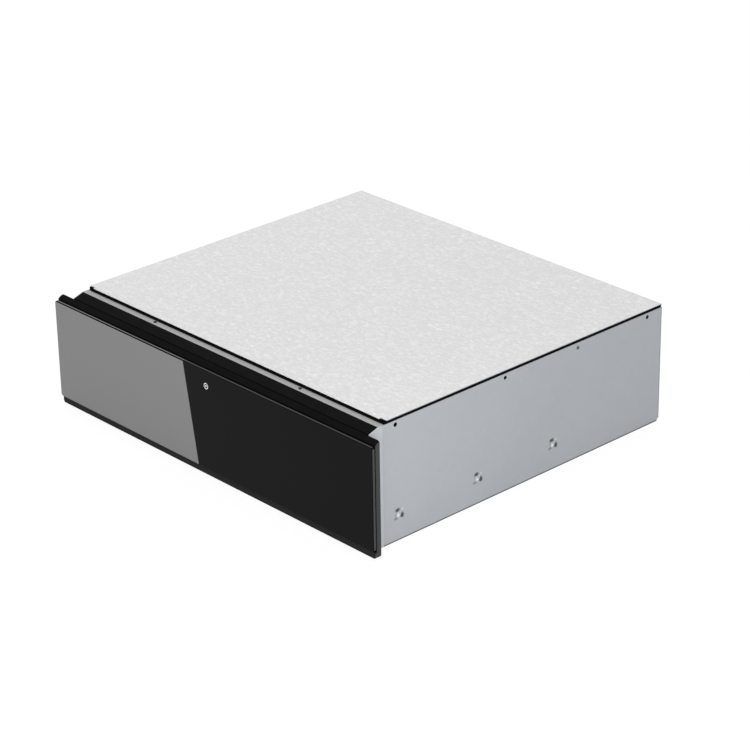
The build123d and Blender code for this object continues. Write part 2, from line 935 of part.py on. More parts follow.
front_bolt = pan_screw(
    bolt_radius,
    bolt_head_radius,
    bolt_head_height,
    tub_front_inside - carrier_front,
)
front_bolts = screw_group(
    front_bolt,
    [Plane(origin=(x, tub_front_inside, z), z_dir=(0, 1, 0)) for x, z in bolt_spots],
)
save(front_bolts, "front_bolts")

with BuildPart() as striker_plate:
    add(
        block(
            (-striker_width / 2, tub_back, tub_floor_height + tub_floor_bend),
            (striker_width / 2, tub_back + striker_thickness, striker_top),
        )
    )
    add(
        block(
            (-striker_width / 2, tub_back, tub_floor_height - striker_thickness),
            (
                striker_width / 2,
                tub_back + striker_thickness,
                tub_floor_height + tub_floor_bend,
            ),
        )
    )
    add(
        block(
            (
                -striker_width / 2,
                tub_back - latch_foot_width,
                tub_floor_height - striker_thickness,
            ),
            (striker_width / 2, tub_back, tub_floor_height),
        )
    )
save(striker_plate, "striker_plate")

# ---------------------------------------------------------------- controls on the drawer

deck_outline = (
    (deck_front, deck_top),
    (deck_back, deck_top),
    (deck_back, deck_box_bottom),
    (deck_front + deck_sheet, deck_box_bottom),
    (deck_front + deck_sheet, deck_box_bottom + deck_sheet),
    (deck_back - deck_sheet, deck_box_bottom + deck_sheet),
    (deck_back - deck_sheet, tub_rim_height),
    (deck_front, tub_rim_height),
)
with BuildPart() as control_deck:
    extrude(outline(from_side(-deck_half), deck_outline), amount=2 * deck_half)
    with BuildSketch(Plane.XY.offset(tub_rim_height)):
        with Locations((0, (deck_front + deck_back) / 2)):
            Rectangle(2 * tub_half, deck_depth)
    extrude(amount=deck_sheet)
    with BuildSketch(Plane.XY.offset(deck_top)):
        with Locations((knob_x, control_y)):
            Circle(spindle_radius + spindle_hole_clearance)
        with Locations((switch_x, control_y)):
            Rectangle(switch_body_width, switch_body_depth)
        with Locations((lamp_x, control_y)):
            Circle(lamp_stem_radius + lamp_hole_clearance)
    extrude(amount=-deck_sheet, mode=Mode.SUBTRACT)
save(control_deck, "control_deck")

with BuildPart() as thermostat:
    with BuildSketch(Plane.XY.offset(tub_rim_height)):
        with Locations((knob_x, control_y)):
            Rectangle(thermostat_width, thermostat_depth)
    extrude(amount=-thermostat_height)
    fillet(thermostat.edges().filter_by(Axis.Z), thermostat_tab / 2)
    with BuildSketch(Plane.XY.offset(tub_rim_height)):
        with Locations((knob_x, control_y)):
            Rectangle(thermostat_width + 2 * thermostat_tab, thermostat_tab)
    extrude(amount=-deck_sheet)
    with BuildSketch(Plane.XY.offset(tub_rim_height)):
        with Locations((knob_x, control_y)):
            Circle(spindle_radius + spindle_clearance)
    extrude(amount=-spindle_length, mode=Mode.SUBTRACT)
save(thermostat, "thermostat")

knob_bottom = deck_top + knob_lift
with BuildPart() as temperature_knob:
    with BuildSketch(Plane.XY.offset(knob_bottom)):
        with Locations((knob_x, control_y)):
            Circle(knob_skirt_radius)
    extrude(amount=knob_skirt_height)
    with BuildSketch(Plane.XY.offset(knob_bottom)):
        with Locations((knob_x, control_y)):
            Circle(knob_grip_radius)
            with PolarLocations(knob_grip_radius, knob_flutes):
                Circle(knob_flute_radius, mode=Mode.SUBTRACT)
    extrude(amount=knob_height)
    fillet(temperature_knob.faces().sort_by(Axis.Z)[-1].edges(), pointer_depth)
    with BuildSketch(Plane.XY.offset(knob_bottom + knob_height)):
        with Locations((knob_x, control_y + knob_grip_radius / 2)):
            Rectangle(pointer_width, knob_grip_radius / 2)
    extrude(amount=-pointer_depth, mode=Mode.SUBTRACT)
    with BuildSketch(Plane.XY.offset(knob_bottom)):
        with Locations((knob_x, control_y)):
            Circle(spindle_radius)
    extrude(amount=-spindle_length)
save(temperature_knob, "temperature_knob")

bezel_top = deck_top + bezel_thickness
rocker_pivot_height = tub_rim_height
cavity_length = rocker_length + 2 * rocker_play
cavity_width = rocker_width + 2 * rocker_play
with BuildPart() as switch_bezel:
    with BuildSketch(Plane.XY.offset(deck_top)):
        with Locations((switch_x, control_y)):
            RectangleRounded(bezel_width, bezel_depth, bezel_corner)
    extrude(amount=bezel_thickness)
    with BuildSketch(Plane.XY.offset(deck_top)):
        with Locations((switch_x, control_y)):
            Rectangle(switch_body_width, switch_body_depth)
    extrude(amount=-switch_body_height)
    with BuildSketch(Plane.XY.offset(bezel_top)):
        with Locations((switch_x, control_y)):
            Rectangle(cavity_length, cavity_width)
    extrude(amount=-switch_body_height / 2 - bezel_thickness, mode=Mode.SUBTRACT)
    with BuildSketch(from_front(control_y - rocker_width / 2 - rocker_pin_length - rocker_play)):
        with Locations((switch_x, rocker_pivot_height)):
            Circle(rocker_pin_radius + rocker_pin_clearance)
    extrude(
        amount=-rocker_width - 2 * rocker_pin_length - 2 * rocker_play,
        mode=Mode.SUBTRACT,
    )
save(switch_bezel, "switch_bezel")

# The rocker rests in its off place, with the right-hand end up.
half_swing = radians(rocker_swing / 2)
rocker_plane = Plane(
    origin=(switch_x, control_y + rocker_width / 2, rocker_pivot_height),
    x_dir=(cos(half_swing), 0, sin(half_swing)),
    z_dir=(0, -1, 0),
)
rocker_outline = (
    (-rocker_length / 2, rocker_proud - rocker_thickness),
    (rocker_length / 2, rocker_proud - rocker_thickness),
    (rocker_length / 2, rocker_proud),
    (0, rocker_proud - rocker_dip),
    (-rocker_length / 2, rocker_proud),
)
with BuildPart() as power_rocker:
    extrude(outline(rocker_plane, rocker_outline), amount=rocker_width)
    with BuildSketch(rocker_plane.offset(-rocker_pin_length)):
        Circle(rocker_pin_radius)
    extrude(amount=rocker_width + 2 * rocker_pin_length)
save(power_rocker, "power_rocker")

with BuildPart() as pilot_lamp:
    with BuildSketch(Plane.XY.offset(deck_top)):
        with Locations((lamp_x, control_y)):
            Circle(lamp_radius)
    extrude(amount=lamp_height)
    fillet(pilot_lamp.faces().sort_by(Axis.Z)[-1].edges(), lamp_height / 2)
    with BuildSketch(Plane.XY.offset(deck_top)):
        with Locations((lamp_x, control_y)):
            Circle(lamp_stem_radius)
    extrude(amount=-lamp_stem_length)
save(pilot_lamp, "pilot_lamp")

# ---------------------------------------------------------------- fan heater

element_end_spots = [
    (
        element_radius * cos(radians(side * element_gap_angle / 2 - 90)),
        fan_height + element_radius * sin(radians(side * element_gap_angle / 2 - 90)),
    )
    for side in (-1, 1)
]
with BuildPart() as heater_housing:
    add(
        block(
            (-half_module, module_front, module_bottom),
            (half_module, module_back, module_top),
        )
    )
    add(
        block(
            (-half_module + module_wall, module_front, module_bottom + module_wall),
            (half_module - module_wall, module_back - module_wall, module_top - module_wall),
        ),
        mode=Mode.SUBTRACT,
    )
    for side in (-1, 1):
        outside = side * half_module
        inside = side * (half_module - module_wall)
        foot = side * (half_module + module_foot)
        add(
            block(
                (min(outside, inside), module_front, sheet),
                (max(outside, inside), module_back, module_bottom),
            )
        )
        add(
            block(
                (min(outside, foot), module_front, sheet),
                (max(outside, foot), module_back, sheet + module_wall),
            )
        )
    with BuildSketch(from_front(module_back)):
        with Locations((0, fan_height)):
            Circle(shaft_hole_radius)
        with Locations(*element_end_spots):
            Circle(element_tube_radius + element_hole_clearance)
    extrude(amount=module_wall, mode=Mode.SUBTRACT)
save(heater_housing, "heater_housing")

with BuildPart() as air_grille:
    with BuildSketch(from_front(module_front)):
        with Locations((0, (module_bottom + module_top) / 2)):
            Rectangle(module_width, module_top - module_bottom)
        with Locations((0, fan_height)):
            with GridLocations(
                grille_slot_pitch, grille_slot_row_pitch, grille_slot_columns, grille_slot_rows
            ):
                SlotOverall(
                    grille_slot_length, grille_slot_width, rotation=90, mode=Mode.SUBTRACT
                )
    extrude(amount=sheet)
save(air_grille, "air_grille")

element_y = grille_front + element_setback
element_start = -90 + element_gap_angle / 2
with BuildPart() as heating_element:
    with BuildLine(from_front(element_y)) as ring:
        CenterArc((0, fan_height), element_radius, element_start, 360 - element_gap_angle)
    with BuildSketch(Plane(origin=ring.line @ 0, z_dir=ring.line % 0)):
        Circle(element_tube_radius)
    sweep()
    for spot in element_end_spots:
        add(disc(from_front(element_y), spot, element_tube_radius, -element_tail))
save(heating_element, "heating_element")

impeller_front = grille_front + impeller_setback
impeller_back = impeller_front + impeller_depth
with BuildPart() as fan_impeller:
    with BuildSketch(from_front(impeller_back)):
        with Locations((0, fan_height)):
            Circle(impeller_radius)
    extrude(amount=impeller_disc)
    with BuildSketch(from_front(impeller_back)):
        with Locations((0, fan_height)):
            Circle(impeller_hub_radius)
            blade_length = impeller_radius - impeller_eye_radius
            with PolarLocations(impeller_eye_radius + blade_length / 2, impeller_blades):
                Rectangle(blade_length, impeller_blade)
    extrude(amount=impeller_depth)
    with BuildSketch(from_front(impeller_back)):
        with Locations((0, fan_height)):
            Circle(shaft_radius)
    extrude(amount=-shaft_length)
save(fan_impeller, "fan_impeller")

with BuildPart() as motor_bracket:
    with BuildSketch(from_front(module_back)):
        with Locations((0, fan_height)):
            Rectangle(bracket_width, bracket_height)
            Circle(shaft_hole_radius, mode=Mode.SUBTRACT)
    extrude(amount=-bracket_sheet)
    for side in (-1, 1):
        near = side * motor_width / 2
        far = side * (motor_width / 2 + bracket_sheet)
        add(
            block(
                (min(near, far), module_back, fan_height - bracket_height / 2),
                (
                    max(near, far),
                    motor_stack_front + motor_stack,
                    fan_height + bracket_height / 2,
                ),
            )
        )
save(motor_bracket, "motor_bracket")

with BuildPart() as fan_motor:
    with BuildSketch(from_front(motor_stack_front)):
        with Locations((0, fan_height)):
            Rectangle(motor_width, motor_height)
    extrude(amount=-motor_stack)
    with BuildSketch(from_front(motor_front)):
        with Locations((0, fan_height)):
            Circle(motor_cap_radius)
    extrude(amount=-motor_length)
    with BuildSketch(from_front(motor_front)):
        with Locations((0, fan_height + motor_height / 2)):
            Rectangle(coil_width, coil_height)
    extrude(amount=-motor_length)
    with BuildSketch(from_front(motor_front)):
        with Locations((0, fan_height)):
            Circle(shaft_radius + shaft_clearance)
    extrude(amount=-motor_length, mode=Mode.SUBTRACT)
save(fan_motor, "fan_motor")

with BuildPart() as thermal_cutout:
    add(disc(from_front(module_back), (cutout_place, fan_height), cutout_radius, -cutout_depth))
    with BuildSketch(from_front(module_back)):
        with Locations((cutout_place, fan_height)):
            Rectangle(cutout_tab_width, cutout_tab_height)
    extrude(amount=-cutout_tab_thickness)
save(thermal_cutout, "thermal_cutout")

# ---------------------------------------------------------------- mains inlet

gland_spot = (gland_x, gland_height)
with BuildPart() as mains_gland:
    add(disc(from_front(case_back), gland_spot, gland_flange_radius, -gland_flange_thickness))
    add(disc(from_front(case_back), gland_spot, gland_body_radius, gland_reach))
    with BuildSketch(from_front(back_inside)):
        with Locations(gland_spot):
            RegularPolygon(gland_flange_radius, 6)
    extrude(amount=gland_nut_thickness)
    with BuildSketch(from_front(case_back + gland_flange_thickness)):
        with Locations(gland_spot):
            Circle(gland_bore_radius)
    extrude(amount=gland_flange_thickness + gland_reach, mode=Mode.SUBTRACT)
save(mains_gland, "mains_gland")

with BuildPart() as terminal_block:
    with BuildSketch(from_front(back_inside)):
        with Locations((terminal_x, terminal_height)):
            Rectangle(terminal_width, terminal_tall)
    extrude(amount=terminal_depth)
    with BuildSketch(from_front(back_inside - terminal_depth)):
        with Locations((terminal_x, terminal_height)):
            with GridLocations(terminal_pitch, terminal_pitch, terminal_screws, 1):
                Circle(terminal_hole_radius)
    extrude(amount=-terminal_hole_depth, mode=Mode.SUBTRACT)
save(terminal_block, "terminal_block")

# ---------------------------------------------------------------- push latch

half_latch = latch_width / 2
with BuildPart() as latch_housing:
    add(
        block(
            (-half_latch, latch_front, sheet),
            (half_latch, latch_back, sheet + latch_height),
        )
    )
    add(
        block(
            (-half_latch - latch_foot_width, latch_front, sheet),
            (half_latch + latch_foot_width, latch_back, sheet + latch_foot_thickness),
        )
    )
    with BuildSketch(from_front(latch_front)):
        with Locations((0, plunger_height)):
            Circle(plunger_radius + plunger_clearance)
    extrude(amount=latch_front - latch_bore_end, mode=Mode.SUBTRACT)
save(latch_housing, "latch_housing")

with BuildPart() as latch_plunger:
    with BuildSketch(from_front(plunger_tip)):
        with Locations((0, plunger_height)):
            Circle(plunger_radius)
    extrude(amount=-plunger_length)
    fillet(latch_plunger.faces().sort_by(Axis.Y)[0].edges(), plunger_radius / 4)
    with BuildSketch(from_front(plunger_tip + plunger_nose)):
        with Locations((0, plunger_height)):
            Circle(plunger_hollow_radius)
    extrude(amount=plunger_nose - plunger_length, mode=Mode.SUBTRACT)
save(latch_plunger, "latch_plunger")

# The spring sits on the bore's end wall and clears the plunger's hollow by the push stroke.
spring_front = plunger_tip + plunger_nose + push_stroke + spring_wire_radius + spring_seat_gap
spring_length = spring_back - spring_front
with BuildPart() as latch_spring:
    with BuildLine() as coil:
        Helix(
            pitch=spring_length / spring_turns,
            height=spring_length,
            radius=spring_radius,
            center=(0, spring_front, plunger_height),
            direction=(0, 1, 0),
        )
    with BuildSketch(Plane(origin=coil.line @ 0, z_dir=coil.line % 0)):
        Circle(spring_wire_radius)
    sweep(is_frenet=True)
save(latch_spring, "latch_spring")
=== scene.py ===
import json
import math

import bpy
import numpy as np
from mathutils import Matrix, Vector


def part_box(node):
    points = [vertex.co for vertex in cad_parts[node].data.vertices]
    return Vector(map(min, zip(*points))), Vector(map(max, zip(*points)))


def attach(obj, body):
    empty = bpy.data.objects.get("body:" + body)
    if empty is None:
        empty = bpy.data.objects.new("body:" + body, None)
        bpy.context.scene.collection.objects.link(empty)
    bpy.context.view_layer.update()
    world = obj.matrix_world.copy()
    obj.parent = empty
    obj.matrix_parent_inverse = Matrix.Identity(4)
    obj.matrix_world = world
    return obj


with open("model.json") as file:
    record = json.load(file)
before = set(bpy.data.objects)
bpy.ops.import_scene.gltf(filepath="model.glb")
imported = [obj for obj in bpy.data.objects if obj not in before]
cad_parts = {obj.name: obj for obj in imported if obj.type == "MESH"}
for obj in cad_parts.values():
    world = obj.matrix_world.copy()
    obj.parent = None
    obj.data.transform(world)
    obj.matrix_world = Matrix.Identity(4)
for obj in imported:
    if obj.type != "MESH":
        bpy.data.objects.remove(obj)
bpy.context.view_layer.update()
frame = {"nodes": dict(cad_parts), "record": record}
print("frame loaded,", len(frame["nodes"]), "nodes")


def fromScreen(*levels):
    # a colour as a screen shows it, 0 to 255, turned into the linear colour a shader takes
    steps = np.array(levels) / 255
    linear = np.where(steps <= 0.04045, steps / 12.92, ((steps + 0.055) / 1.055) ** 2.4)
    return (*(float(v) for v in linear), 1.0)


def millimetres(*lengths):
    return tuple(length / 1000 for length in lengths)


class Socket:
    # one output of a node, on which arithmetic adds the Math nodes
    def __init__(self, graph, end):
        self.graph = graph
        self.end = end

    def __add__(self, other):
        return self.graph.maths("ADD", self, other)

    def __radd__(self, other):
        return self.graph.maths("ADD", other, self)

    def __sub__(self, other):
        return self.graph.maths("SUBTRACT", self, other)

    def __rsub__(self, other):
        return self.graph.maths("SUBTRACT", other, self)

    def __mul__(self, other):
        return self.graph.maths("MULTIPLY", self, other)

    def __rmul__(self, other):
        return self.graph.maths("MULTIPLY", other, self)

    def __truediv__(self, other):
        return self.graph.maths("DIVIDE", self, other)

    def __pow__(self, other):
        return self.graph.maths("POWER", self, other)

    def __abs__(self):
        return self.graph.maths("ABSOLUTE", self)


class Graph:
    # the nodes of one material or of the world
    def __init__(self, tree):
        self.tree = tree
        self.tree.nodes.clear()

    def pick(self, sockets, key):
        if isinstance(key, int):
            return sockets[key]
        return next(s for s in sockets if key in (s.identifier, s.name))

    def feed(self, node, values):
        for key, value in values.items():
            socket = self.pick(node.inputs, key)
            if isinstance(value, Socket):
                self.tree.links.new(value.end, socket)
            else:
                socket.default_value = value

    def node(self, kind, settings=None, values=None, result=0):
        made = self.tree.nodes.new("ShaderNode" + kind)
        settings = dict(settings or {})
        stops = settings.pop("stops", ())
        for key, value in settings.items():
            setattr(made, key, value)
        for i, (place, level) in enumerate(stops):
            while len(made.color_ramp.elements) <= i:
                made.color_ramp.elements.new(place)
            made.color_ramp.elements[i].position = place
            made.color_ramp.elements[i].color = level
        self.feed(made, values or {})
        return Socket(self, self.pick(made.outputs, result))

    def maths(self, operation, *values):
        return self.node("Math", dict(operation=operation), dict(enumerate(values)))

    def vectors(self, operation, *values):
        return self.node("VectorMath", dict(operation=operation), dict(enumerate(values)))

    def mix(self, share, first, second):
        return self.node(
            "Mix",
            dict(data_type="RGBA"),
            {"Factor_Float": share, "A_Color": first, "B_Color": second},
            "Result_Color",
        )

    def place(self, stretch=(1, 1, 1)):
        spot = self.node("TexCoord", result="Object")
        return self.vectors("MULTIPLY", spot, stretch) if stretch != (1, 1, 1) else spot

    def axes(self):
        spot = self.place()
        return [self.node("SeparateXYZ", values={0: spot}, result=axis) for axis in "XYZ"]

    def noise(self, size, detail=2.0, rough=0.5, stretch=(1, 1, 1), warp=0.0):
        return self.node(
            "TexNoise",
            dict(noise_dimensions="3D"),
            {
                "Vector": self.place(stretch),
                "Scale": 1000 / size,
                "Detail": detail,
                "Roughness": rough,
                "Distortion": warp,
            },
            "Fac",
        )

    def cells(self, size, stretch=(1, 1, 1)):
        return self.node(
            "TexVoronoi",
            dict(feature="F1"),
            {"Vector": self.place(stretch), "Scale": 1000 / size},
            "Color",
        )

    def edge(self, value, low, high):
        # rises smoothly from 0 at low to 1 at high
        return self.node(
            "MapRange",
            dict(interpolation_type="SMOOTHSTEP"),
            {"Value": value, "From Min": low, "From Max": high},
            "Result",
        )

    def between(self, value, low, high, soft):
        risen = self.edge(value, low - soft, low + soft)
        return risen * (1 - self.edge(value, high - soft, high + soft))

    def bump(self, height, depth, normal=None):
        values = {"Strength": 1.0, "Distance": depth / 1000, "Height": height}
        if normal:
            values["Normal"] = normal
        return self.node("Bump", None, values, "Normal")

    def rounded(self, radius):
        return self.node("Bevel", dict(samples=4), {"Radius": radius / 1000}, "Normal")


looks = {}


class Look(Graph):
    # a finish for one material slot: a graph that ends in a Principled shader
    def __init__(self, name):
        self.material = bpy.data.materials.new(name)
        self.material.use_nodes = True
        super().__init__(self.material.node_tree)
        looks[name] = self.material

    def finish(self, **values):
        shader = self.tree.nodes.new("ShaderNodeBsdfPrincipled")
        output = self.tree.nodes.new("ShaderNodeOutputMaterial")
        named = {
            "colour": "Base Color",
            "metal": "Metallic",
            "rough": "Roughness",
            "glint": "Specular IOR Level",
            "normal": "Normal",
            "coat": "Coat Weight",
        }
        self.feed(shader, {named[key]: value for key, value in values.items()})
        self.tree.links.new(shader.outputs[0], output.inputs["Surface"])


print("making the sheet metal looks")

sheet = dict(
    colour=fromScreen(183, 187, 191),
    dull=fromScreen(175, 179, 184),
    metal=0.15,
    rough=0.5,
    flake=9.0,
    cloud=160.0,
)
baseSheet = {**sheet, "colour": fromScreen(62, 64, 66), "dull": fromScreen(50, 52, 54)}
# painted light: the front posts are the same sheet as the sides, made paler to offset the shade the
# front casts on them
postSheetLit = {**sheet, "colour": fromScreen(196, 199, 202), "dull": fromScreen(190, 193, 196)}
sheetSkin = dict(flakeShare=0.15, grain=0.9, grainDepth=0.01, foldRadius=0.5)

# painted shade and highlight round the side panels' dimples and holes, and darker bands along their
# edges
pressed = dict(
    spacing=130.0,
    count=3,
    dark=fromScreen(30, 32, 34),
    pale=fromScreen(236, 237, 238),
    shadePatches=((-2.6, 5.2, 5.5, 3.5, 0.8), (4.9, -3.6, 3.5, 4.8, 0.9), (-5.4, -5.3, 4.8, 2.6, 0.45)),
    highlightPatches=((-1.2, -2.4, 3.2, 4.2, 0.9), (5.0, 4.0, 2.2, 2.6, 0.5)),
    holes=((-209.0, 152.1, 2.85), (-29.0, 152.1, 2.45), (223.0, 152.1, 2.55)),
    rimSoft=0.1,
    backEdge=1.3,
    lowEdge=0.8,
    edgeBandTone=fromScreen(110, 112, 114),
    edgeBandShare=0.75,
)


def pressedPatches(look, patches):
    # soft ovals, the same at every dimple along the side: strongest where the distance from the
    # middle, over the half widths, is small
    low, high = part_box("rail_screws")
    middle = (low + high) / 2
    x, y, z = look.axes()
    half = pressed["spacing"] / 2
    along = look.maths("WRAP", (y - middle.y) * 1000, half, -half)
    reach = pressed["count"] * half
    total = 0
    for patchY, patchZ, halfY, halfZ, strength in patches:
        acrossY = (along - patchY) / halfY
        acrossZ = ((z - middle.z) * 1000 - patchZ) / halfZ
        away = (acrossY**2 + acrossZ**2) ** 0.5
        total = (1 - look.edge(away, 0.4, 1.0)) * strength + total
    return total * look.between((y - middle.y) * 1000, -reach, reach, 1)


def paintedDimpleShading(look, tone):
    # painted shade and highlight at the pressed and screwed places: dark patches round a bright
    # middle
    tone = look.mix(pressedPatches(look, pressed["highlightPatches"]), tone, pressed["pale"])
    return look.mix(pressedPatches(look, pressed["shadePatches"]), tone, pressed["dark"])


def paintedHoleShade(look):
    # painted shade: dark in and just round each hole
    x, y, z = look.axes()
    total = 0
    for holeY, holeZ, rim in pressed["holes"]:
        away = ((y * 1000 - holeY) ** 2 + (z * 1000 - holeZ) ** 2) ** 0.5
        total = 1 - look.edge(away, rim - pressed["rimSoft"], rim) + total
    return total


def darkEdgeBands(look):
    # 1 in a narrow band along the back edge and along the lower one, where the side is darker
    low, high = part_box("side_panel_right")
    end = high.y - pressed["backEdge"] / 1000
    foot = low.z + pressed["lowEdge"] / 1000
    soft = 0.0001
    x, y, z = look.axes()
    below = 1 - look.edge(z, foot, foot + soft)
    return look.maths("MAXIMUM", look.edge(y, end, end + soft), below)


def galvanised(name, colour, dull, metal, rough, flake, cloud, withPaintedShade=False):
    # zinc-coated steel: faint angular flakes over a slow drift of tone
    look = Look(name)
    flakes = look.node("SeparateColor", values={0: look.cells(flake)}, result="Red")
    drift = look.noise(cloud, 2)
    grain = look.noise(sheetSkin["grain"], 2)
    flakeShare = sheetSkin["flakeShare"]
    tone = look.mix(flakes * flakeShare + drift * (1 - flakeShare), colour, dull)
    # painted shade and highlight round the dimples and holes, then the darker edge bands
    if withPaintedShade:
        tone = look.mix(paintedHoleShade(look), paintedDimpleShading(look, tone), pressed["dark"])
        tone = look.mix(darkEdgeBands(look) * pressed["edgeBandShare"], tone, pressed["edgeBandTone"])
    look.finish(
        colour=tone,
        metal=metal,
        rough=rough - 0.05 + flakes * 0.05 + drift * 0.05,
        normal=look.bump(grain, sheetSkin["grainDepth"], look.rounded(sheetSkin["foldRadius"])),
    )


galvanised("galvanised_steel", **sheet)
galvanised("side_steel", **sheet, withPaintedShade=True)
galvanised("galvanised_base", **baseSheet)
galvanised("post_steel", **postSheetLit)

rail = dict(
    tone=fromScreen(169, 169, 168),
    dull=fromScreen(161, 161, 161),
    metal=0.1,
    rough=0.45,
    cloud=40.0,
    paintedShadow=fromScreen(10, 10, 10),
    paintedShadowFrom=-226.4,
    paintedShadowSoft=0.3,
    ragged=3.0,
)


def railLook():
    # the same sheet, greyer, with a black band painted along the edge under the mat as its shadow
    look = Look("rail_steel")
    x, y, z = look.axes()
    ragged = look.noise(rail["ragged"], 3) * 0.5
    # painted shadow of the mat: a black band with a ragged edge
    paintedShadow = look.edge(y * 1000 + ragged, rail["paintedShadowFrom"], rail["paintedShadowFrom"] + rail["paintedShadowSoft"])
    drift = look.noise(rail["cloud"], 3)
    grain = look.noise(sheetSkin["grain"], 2)
    look.finish(
        colour=look.mix(paintedShadow, look.mix(drift, rail["tone"], rail["dull"]), rail["paintedShadow"]),
        metal=rail["metal"],
        rough=rail["rough"] + drift * 0.1,
        normal=look.bump(grain, sheetSkin["grainDepth"], look.rounded(sheetSkin["foldRadius"])),
    )


railLook()

cover = dict(
    pale=fromScreen(230, 230, 230),
    shade=fromScreen(217, 217, 217),
    crestHighlight=fromScreen(246, 246, 246),
    crestHighlightFrom=0.64,
    crestHighlightSoft=0.08,
    crestHighlightShare=0.7,
    lump=5.0,
    lumpStretch=(0.8, 1.25, 1),
    lumpDepth=0.3,
    crest=(0.38, 0.66),
    crestShare=0.8,
    edgeBandTone=fromScreen(155, 155, 155),
    rough=0.62,
)


def mottledCover():
    # a stucco coat: short soft lumps, paler on their crests, with bright spots painted on the highest
    # as highlights; the cut faces along both sides are painted darker as shade
    look = Look("coated_cover")
    lumps = look.noise(cover["lump"], 3, 0.55, cover["lumpStretch"], 0.6)
    fine = look.noise(cover["lump"] / 4, 2)
    crest = look.edge(lumps, *cover["crest"])
    # painted highlights: bright spots on the highest crests
    crestHighlights = look.edge(lumps, cover["crestHighlightFrom"], cover["crestHighlightFrom"] + cover["crestHighlightSoft"])
    coat = crest * cover["crestShare"] + fine * (1 - cover["crestShare"])
    tone = look.mix(coat, cover["shade"], cover["pale"])
    tone = look.mix(crestHighlights * cover["crestHighlightShare"], tone, cover["crestHighlight"])
    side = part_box("top_cover")[1].x
    # painted shade: the cut faces along both sides and a hair of the top beside them
    paintedEdgeShade = look.edge(abs(look.axes()[0]), side - 0.0001, side - 0.00005)
    look.finish(
        colour=look.mix(paintedEdgeShade, tone, cover["edgeBandTone"]),
        rough=cover["rough"] - crest * 0.12,
        normal=look.bump(coat, cover["lumpDepth"]),
    )


mottledCover()

brush = dict(
    light=fromScreen(214, 213, 210),
    dark=fromScreen(190, 189, 187),
    metal=1.0,
    rough=0.3,
    line=1.1,
)


def brushed(name, light, dark, metal, rough, line, along=(0.02, 1, 1)):
    # metal with long fine lines along one axis
    look = Look(name)
    lines = look.noise(line, 3, 0.6, along)
    broad = look.noise(line * 9, 2, 0.5, along)
    look.finish(
        colour=look.mix(lines * 0.6 + broad * 0.4, dark, light),
        metal=metal,
        rough=rough + lines * 0.12,
        normal=look.bump(lines, 0.006, look.rounded(0.4)),
    )


zinc = dict(
    light=fromScreen(198, 200, 202),
    dark=fromScreen(172, 175, 178),
    metal=1.0,
    rough=0.28,
    line=0.8,
)
brushed("stainless", **brush)
brushed("slide_zinc", **zinc, along=(1, 0.02, 1))

print("making the small metal looks")


def turned(name, light, dark, rough, speck=0.9):
    # a plain small metal piece with a little uneven tone and roughness
    look = Look(name)
    spots = look.noise(speck, 3, 0.6)
    patches = look.noise(speck * 7, 2)
    look.finish(
        colour=look.mix(spots * 0.4 + patches * 0.6, dark, light),
        metal=1.0,
        rough=rough + spots * 0.14,
        normal=look.bump(spots, 0.01, look.rounded(0.15)),
    )


pressedHead = dict(
    light=fromScreen(196, 198, 200),
    dark=fromScreen(178, 181, 184),
    metal=0.3,
    rough=0.3,
)


def pressedScrew():
    # zinc screw heads in the dimples, with the same painted shade and highlight as the sheet round
    # them
    look = Look("pressed_screw")
    spots = look.noise(0.9, 3, 0.6)
    tone = look.mix(spots, pressedHead["light"], pressedHead["dark"])
    look.finish(
        colour=paintedDimpleShading(look, tone),
        metal=pressedHead["metal"],
        rough=pressedHead["rough"] + spots * 0.14,
        normal=look.bump(spots, 0.01, look.rounded(0.15)),
    )


pressedScrew()
turned("ball_steel", fromScreen(214, 214, 214), fromScreen(188, 189, 191), 0.1)
turned("screw_zinc", fromScreen(206, 207, 206), fromScreen(170, 172, 174), 0.24)
turned("screw_black", fromScreen(46, 46, 47), fromScreen(26, 26, 27), 0.34)
turned("screw_dull", fromScreen(120, 122, 124), fromScreen(86, 88, 90), 0.4)
turned("spring_steel", fromScreen(180, 180, 178), fromScreen(140, 140, 140), 0.25)
turned("impeller_alu", fromScreen(204, 206, 208), fromScreen(182, 184, 187), 0.32)


heated = dict(
    steel=fromScreen(122, 118, 112),
    straw=fromScreen(150, 124, 84),
    brown=fromScreen(104, 78, 82),
    blue=fromScreen(72, 80, 104),
    band=16.0,
    metal=0.9,
    rough=0.36,
)


def heatedTube():
    # a sheathed element with straw, brown and blue heat tints in soft bands
    look = Look("element_steel")
    bands = look.noise(heated["band"], 2, 0.5)
    stops = (
        (0.25, heated["steel"]),
        (0.45, heated["straw"]),
        (0.58, heated["brown"]),
        (0.72, heated["blue"]),
    )
    tint = look.node("ValToRGB", dict(stops=stops), {"Fac": bands}, "Color")
    grain = look.noise(0.8, 3)
    look.finish(
        colour=tint,
        metal=heated["metal"],
        rough=heated["rough"] + grain * 0.15,
        normal=look.bump(grain, 0.01),
    )


heatedTube()


motor = dict(
    layer=0.5,
    ironDark=fromScreen(86, 88, 92),
    ironLight=fromScreen(140, 142, 146),
    winding=0.625,
    copperDark=fromScreen(96, 48, 28),
    copperLight=fromScreen(196, 116, 70),
    coilHeight=5.5,
    metal=0.9,
    rough=0.42,
    ridgeDepth=0.12,
)


